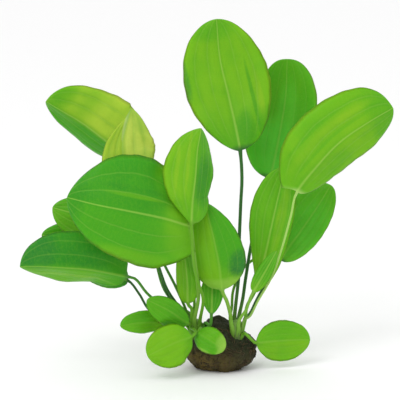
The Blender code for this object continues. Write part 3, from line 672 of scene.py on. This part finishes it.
def leaf_material(name, look, seed):
    """Green with paler curved veins, painted shade in the creases along the main veins and beside the midrib, a fine
    net between them, a darker thin edge and a paler back.
    """
    m = Nodes(name)
    offset, half, along = m.field("offset"), m.field("half"), m.field("along")
    distance, stalk, front = m.field("distance"), m.field("stalk"), m.field("front")
    place = m.vector(offset, distance, seed * 50.0)
    share = m.math("DIVIDE", offset, half)
    size = m.math("ABSOLUTE", share)

    drift = m.noise(place, 0.045, 2.0)
    mottle = m.noise(place, 0.5, 4.0, 0.6)
    grain = m.noise(place, 3.0, 2.0)

    # Distance in mm to the nearest main vein, which all run from the base to the tip
    wander = m.math("MULTIPLY_ADD", m.noise(place, 0.03, 0.0), 0.12, -0.06)
    lane = m.math("MULTIPLY", m.math("ADD", size, wander), MAIN_VEINS)
    gap = m.math("PINGPONG", lane, 0.5)
    gap = m.math("MULTIPLY", m.math("DIVIDE", gap, MAIN_VEINS), half)
    veined = m.math("MULTIPLY", m.ramp(size, 0.1, 0.2), m.ramp(size, 0.8, 0.97, 1.0, 0.0))
    veined = m.math("MULTIPLY", veined, m.ramp(along, 0.02, 0.2))
    vein = m.math("MULTIPLY", m.ramp(gap, 0.1, 0.7, 1.0, 0.0), veined)
    # Painted shade: a darker green in the creases along the main veins, fading out 2.6 mm away, standing in for the
    # creases' shade
    trough_shade = m.math("MULTIPLY", m.ramp(gap, 0.2, 2.6, 1.0, 0.0), veined)
    trough_shade = m.math("MULTIPLY", trough_shade, m.ramp(m.noise(place, 0.06, 1.0), 0.35, 0.6, 0.3, 1.0))
    # Fine cross veins that slant towards the tip
    slant = m.math("MULTIPLY_ADD", size, -9.0, distance)
    slant = m.math("MULTIPLY_ADD", m.noise(place, 0.22, 2.0), 3.4, slant)
    rung = m.math("PINGPONG", slant, 1.5)
    rung = m.ramp(rung, 0.1, 0.45, 1.0, 0.0)
    net = m.add("ShaderNodeTexVoronoi", feature="DISTANCE_TO_EDGE")
    m.join(place, net.inputs["Vector"])
    net.inputs["Scale"].default_value = 0.75
    mesh_line = m.ramp(net.outputs["Distance"], 0.02, 0.12, 1.0, 0.0)
    # The midrib tapers from base to tip
    rib_width = m.math("MULTIPLY_ADD", along, -0.75, 1.15)
    midrib = m.ramp(m.math("DIVIDE", m.math("ABSOLUTE", offset), rib_width), 0.2, 1.2, 1.0, 0.0)
    # Painted shade: a darker green along both sides of the midrib, standing in for the shade of the grooves beside it
    midrib_side_shade = m.ramp(m.math("DIVIDE", m.math("ABSOLUTE", offset), rib_width), 1.0, 3.6, 1.0, 0.0)

    colour = m.mix(m.ramp(share, -0.16, 0.16), green(look.left), green(look.right))
    colour = m.mix(m.ramp(along, 0.0, 0.4, 0.85, 0.0), colour, green(look.base))
    for patch in look.patches:
        across = m.math("DIVIDE", m.math("SUBTRACT", offset, patch.offset), patch.reach[0])
        up = m.math("DIVIDE", m.math("SUBTRACT", distance, patch.distance), patch.reach[1])
        far = m.math("ADD", m.math("MULTIPLY", across, across), m.math("MULTIPLY", up, up))
        far = m.math("ADD", far, m.math("MULTIPLY_ADD", mottle, 0.5, -0.25))
        colour = m.mix(m.ramp(far, 0.1, 1.3, patch.share, 0.0), colour, green(patch.green))
    colour = m.mix(m.ramp(drift, 0.38, 0.7, 0.0, 0.3), colour, green("leaf"))
    colour = m.mix(m.ramp(mottle, 0.42, 0.66, 0.0, 0.1), colour, green("lime"))
    # Painted shade in the vein creases and beside the midrib
    colour = m.mix(m.math("MULTIPLY", trough_shade, 0.22 * look.veins), colour, green("deep"))
    colour = m.mix(m.math("MULTIPLY", midrib_side_shade, 0.2 * look.veins), colour, green("deep"))
    colour = m.mix(m.math("MULTIPLY", mesh_line, 0.03), colour, green("pale"))
    colour = m.mix(m.math("MULTIPLY", rung, 0.03), colour, green("pale"))
    colour = m.mix(m.math("MULTIPLY", vein, 0.18 * look.veins), colour, green("pale"))
    colour = m.mix(m.math("MULTIPLY", midrib, 0.6 * look.veins), colour, green("pale"))
    rim = m.math("SUBTRACT", half, m.math("ABSOLUTE", offset))
    rim = m.math("MULTIPLY_ADD", m.noise(place, 0.18, 2.0), 1.1, rim)
    colour = m.mix(m.ramp(rim, 0.5, 1.0, 0.5, 0.0), colour, paint((62, 116, 34)))
    back = m.mix(0.35, colour, paint((122, 172, 74)))
    colour = m.mix(front, back, colour)

    stem = m.mix(m.ramp(stalk, 0.0, 0.35), green("sheath"), green(look.stalk))
    stem = m.mix(m.ramp(grain, 0.3, 0.7, 0.0, 0.15), stem, green("dark_stalk"))
    colour = m.mix(m.ramp(along, 0.0, 0.05), stem, colour)
    m.join(colour, m.shader.inputs["Base Color"])

    rough = m.ramp(mottle, 0.3, 0.7, 0.42, 0.54)
    rough = m.math("SUBTRACT", rough, m.math("MULTIPLY", vein, 0.06))
    m.join(rough, m.shader.inputs["Roughness"])
    m.shader.inputs["Specular IOR Level"].default_value = 0.16
    m.shader.inputs["Subsurface Weight"].default_value = 0.12
    m.shader.inputs["Subsurface Radius"].default_value = (0.5, 1.0, 0.25)
    m.shader.inputs["Subsurface Scale"].default_value = 0.0014
    height = m.math("MULTIPLY", vein, -0.6)
    height = m.math("MULTIPLY_ADD", rung, -0.2, height)
    height = m.math("MULTIPLY_ADD", mesh_line, -0.15, height)
    height = m.math("MULTIPLY_ADD", grain, 0.25, height)
    m.bump(height, 0.5, 0.00025)
    return m.material


def crown_material(name):
    """Pale green sheaths, streaked lengthways and browner at the foot."""
    m = Nodes(name)
    coords = m.add("ShaderNodeTexCoord").outputs["Object"]
    stretch = m.add("ShaderNodeMapping")
    m.join(coords, stretch.inputs["Vector"])
    stretch.inputs["Scale"].default_value = (900, 900, 90)
    streak = m.noise(stretch.outputs[0], 1.0, 3.0)
    split = m.add("ShaderNodeSeparateXYZ")
    m.join(coords, split.inputs[0])
    colour = m.mix(m.ramp(streak, 0.3, 0.7), paint((88, 138, 38)), paint((128, 172, 66)))
    low = m.ramp(split.outputs["Z"], 0.02, 0.032, 0.8, 0.0)
    colour = m.mix(low, colour, paint((74, 102, 34)))
    m.join(colour, m.shader.inputs["Base Color"])
    m.join(m.ramp(streak, 0.3, 0.7, 0.42, 0.6), m.shader.inputs["Roughness"])
    m.shader.inputs["Subsurface Weight"].default_value = 0.2
    m.shader.inputs["Subsurface Scale"].default_value = 0.002
    m.bump(streak, 0.5, 0.0004)
    return m.material


def soil_material(name):
    """Wet dark soil: nearly black, browner in patches, with a few pale grains."""
    m = Nodes(name)
    coords = m.add("ShaderNodeTexCoord").outputs["Object"]
    patch = m.noise(coords, 70.0, 3.0)
    crumb = m.noise(coords, 520.0, 4.0, 0.65)
    speck = m.noise(coords, 1600.0, 2.0)
    split = m.add("ShaderNodeSeparateXYZ")
    m.join(coords, split.inputs[0])
    side = m.ramp(split.outputs["X"], -0.02, 0.018, 1.0, 0.15)
    low = m.ramp(split.outputs["Z"], 0.006, 0.02, 1.0, 0.05)
    brown = m.math("MULTIPLY", m.math("MULTIPLY", side, low), m.ramp(patch, 0.25, 0.6, 0.35, 1.0))
    brown = m.math("MAXIMUM", brown, m.ramp(patch, 0.58, 0.75, 0.0, 0.25))
    colour = m.mix(brown, paint((36, 44, 22)), paint((122, 102, 54)))
    colour = m.mix(m.ramp(crumb, 0.5, 0.75, 0.0, 0.4), colour, paint((88, 84, 60)))
    colour = m.mix(m.ramp(crumb, 0.25, 0.45, 0.6, 0.0), colour, paint((12, 11, 8)))
    colour = m.mix(m.ramp(speck, 0.68, 0.78, 0.0, 0.5), colour, paint((132, 128, 104)))
    m.join(colour, m.shader.inputs["Base Color"])
    m.join(m.ramp(crumb, 0.3, 0.7, 0.95, 0.6), m.shader.inputs["Roughness"])
    m.shader.inputs["Specular IOR Level"].default_value = 0.2
    m.bump(m.math("MULTIPLY_ADD", speck, 0.4, crumb), 0.8, 0.0007)
    return m.material


def root_material(name):
    """Fine roots, from tan to dark brown along their length."""
    m = Nodes(name)
    coords = m.add("ShaderNodeTexCoord").outputs["Object"]
    tone = m.noise(coords, 160.0, 3.0)
    fibre = m.noise(coords, 2400.0, 2.0)
    colour = m.mix(m.ramp(tone, 0.35, 0.65), paint((28, 23, 16)), paint((92, 74, 46)))
    colour = m.mix(m.ramp(fibre, 0.4, 0.7, 0.0, 0.35), colour, paint((126, 108, 74)))
    m.join(colour, m.shader.inputs["Base Color"])
    m.join(m.ramp(fibre, 0.3, 0.7, 0.6, 0.85), m.shader.inputs["Roughness"])
    m.shader.inputs["Specular IOR Level"].default_value = 0.25
    m.bump(fibre, 0.4, 0.0002)
    return m.material


def floor_material(name):
    """Plain pale paper."""
    m = Nodes(name)
    coords = m.add("ShaderNodeTexCoord").outputs["Object"]
    tooth = m.noise(coords, 400.0, 2.0)
    m.join(m.mix(tooth, (0.93, 0.93, 0.93), (0.95, 0.95, 0.95)), m.shader.inputs["Base Color"])
    m.shader.inputs["Roughness"].default_value = 0.9
    m.shader.inputs["Specular IOR Level"].default_value = 0.1
    return m.material


# Pieces


def add_piece(name, mesh, material, node=None):
    """A piece of the plant, which rides on its one body and may stand for a node of the frame."""
    obj = bpy.data.objects.new(name, mesh)
    bpy.context.scene.collection.objects.link(obj)
    mesh.materials.append(material)
    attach(obj, "root")
    if node:
        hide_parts(node)
    return obj


def add_leaves():
    for seed, (name, leaf) in enumerate(LEAVES.items()):
        mesh = leaf_mesh(name + "_skin", leaf, seed)
        look = LOOKS[name]
        add_piece(name + "_skin", mesh, leaf_material(name + "_green", look, seed), name)


def add_crowns():
    material = crown_material("crown_sheath")
    for name, (x, y, radius) in CROWNS.items():
        shape = bmesh.new()
        bmesh.ops.create_uvsphere(shape, u_segments=96, v_segments=64, radius=1)
        top = CROWN_TOP - 0.0035
        middle, reach = (top + CROWN_FOOT) / 2, (top - CROWN_FOOT) / 2
        for corner in shape.verts:
            side, height = corner.co.xy, corner.co.z
            angle = math.atan2(side.y, side.x)
            fat = (1 - abs(height) ** (2.2 if height > 0 else 4)) ** 0.5
            ridge = 1 + 0.05 * math.sin(9 * angle + 2 * height) + 0.03 * math.sin(17 * angle - height)
            wide = radius * fat * ridge * (0.76 + 0.16 * height)
            corner.co = (x + wide * math.cos(angle), y + wide * math.sin(angle), middle + reach * height)
        mesh = bpy.data.meshes.new(name + "_sheath")
        shape.to_mesh(mesh)
        shape.free()
        mesh.shade_smooth()
        add_piece(name + "_sheath", mesh, material, name)


def ball_point(direction, lift=0.0):
    """A point of the ball's lumpy surface in this direction from its middle."""
    point = Vector(d * r for d, r in zip(direction, BALL_RADII))
    lump = 0.0013 * noise.noise(point / 0.011)
    lump += 0.0009 * noise.noise(point / 0.0042 + Vector((7, 3, 1)))
    lump += 0.00045 * noise.noise(point / 0.0016 + Vector((2, 9, 4)))
    spot = BALL_CENTRE + point + direction * (lump - 0.0006 + lift)
    share = min(1, max(0, direction.z) / MOUND_START)
    for x, y, height, spread in MOUNDS:
        away = (spot.xy - Vector((x, y))).length / spread
        spot.z += share * height * math.exp(-away**2 / 2)
    spot.z = max(spot.z, 0.0)
    return spot


def add_ball():
    shape = bmesh.new()
    bmesh.ops.create_icosphere(shape, subdivisions=6, radius=1)
    for corner in shape.verts:
        corner.co = ball_point(corner.co.normalized())
    mesh = bpy.data.meshes.new("soil")
    shape.to_mesh(mesh)
    shape.free()
    mesh.shade_smooth()
    add_piece("soil", mesh, soil_material("wet_soil"), "root_ball")


ROOT_COUNT = 190
ROOT_SIDES = 6
ROOT_POINTS = 22


def root_path(rng):
    """A root that wanders over the ball's surface and dips in and out of it."""
    turn, height = rng.uniform(0, 2 * math.pi), rng.uniform(-0.75, 0.85)
    heading = rng.uniform(0, 2 * math.pi)
    path = []
    for step in range(ROOT_POINTS):
        flat = math.sqrt(max(0.0, 1 - height**2))
        direction = Vector((flat * math.cos(turn), flat * math.sin(turn), height))
        lift = 0.0004 * math.sin(step * 0.8 + heading)
        path.append(ball_point(direction, lift))
        heading += rng.normal(0, 0.35)
        turn += 0.055 * math.cos(heading) / max(flat, 0.3)
        height = min(0.9, max(-0.8, height + 0.055 * math.sin(heading)))
    return path


def add_roots():
    rng = np.random.default_rng(11)
    points, faces = [], []
    for _ in range(ROOT_COUNT):
        path = root_path(rng)
        radius = rng.uniform(0.00013, 0.00036)
        first = len(points)
        for index, spot in enumerate(path):
            before, after = path[max(index - 1, 0)], path[min(index + 1, len(path) - 1)]
            direction = (after - before).normalized()
            side = direction.orthogonal().normalized()
            other = direction.cross(side)
            thin = radius * (1 - 0.6 * index / ROOT_POINTS)
            for corner in range(ROOT_SIDES):
                angle = 2 * math.pi * corner / ROOT_SIDES
                ring = spot + (side * math.cos(angle) + other * math.sin(angle)) * thin
                points.append((ring.x, ring.y, max(ring.z, 0.0)))
        for index in range(len(path) - 1):
            for corner in range(ROOT_SIDES):
                low, next_low = index * ROOT_SIDES + corner, index * ROOT_SIDES + (corner + 1) % ROOT_SIDES
                faces.append((first + low, first + next_low, first + next_low + ROOT_SIDES, first + low + ROOT_SIDES))
        faces.append(tuple(first + corner for corner in range(ROOT_SIDES))[::-1])
        last = first + (len(path) - 1) * ROOT_SIDES
        faces.append(tuple(last + corner for corner in range(ROOT_SIDES)))
    mesh = bpy.data.meshes.new("fine_roots")
    mesh.from_pydata(points, [], faces)
    mesh.shade_smooth()
    add_piece("fine_roots", mesh, root_material("root_fibre"))


# Stage


def add_floor():
    bpy.ops.mesh.primitive_plane_add(size=14, location=(0, 3, -0.0002))
    floor = bpy.context.object
    floor.name = "floor"
    floor.data.materials.append(floor_material("pale_floor"))


def add_light(name, place, target, size, power):
    data = bpy.data.lights.new(name, "AREA")
    data.size = size
    data.energy = power
    lamp = bpy.data.objects.new(name, data)
    bpy.context.scene.collection.objects.link(lamp)
    lamp.location = place
    lamp.rotation_euler = (Vector(target) - Vector(place)).to_track_quat("-Z", "Y").to_euler()


def add_camera():
    data = bpy.data.cameras.new("camera")
    data.sensor_width = 36
    data.lens = data.sensor_width * VIEW_DISTANCE / PICTURE_WIDTH
    data.clip_end = 50
    camera = bpy.data.objects.new("camera", data)
    bpy.context.scene.collection.objects.link(camera)
    away = Vector((0, math.cos(VIEW_TILT), -math.sin(VIEW_TILT)))
    camera.location = Vector(VIEW_CENTRE) - away * VIEW_DISTANCE
    camera.rotation_euler = away.to_track_quat("-Z", "Y").to_euler()
    bpy.context.scene.camera = camera


def light_scene():
    scene = bpy.context.scene
    scene.view_settings.view_transform = "Standard"
    world = bpy.data.worlds.new("studio")
    world.use_nodes = True
    world.node_tree.nodes["Background"].inputs["Color"].default_value = (1.0, 1.0, 1.0, 1.0)
    world.node_tree.nodes["Background"].inputs["Strength"].default_value = 1.03
    scene.world = world
    add_light("key", (-0.6, -0.9, 1.1), (0, 0, 0.1), 0.6, 5.0)


add_camera()
light_scene()
add_floor()
add_leaves()
add_crowns()
add_ball()
add_roots()
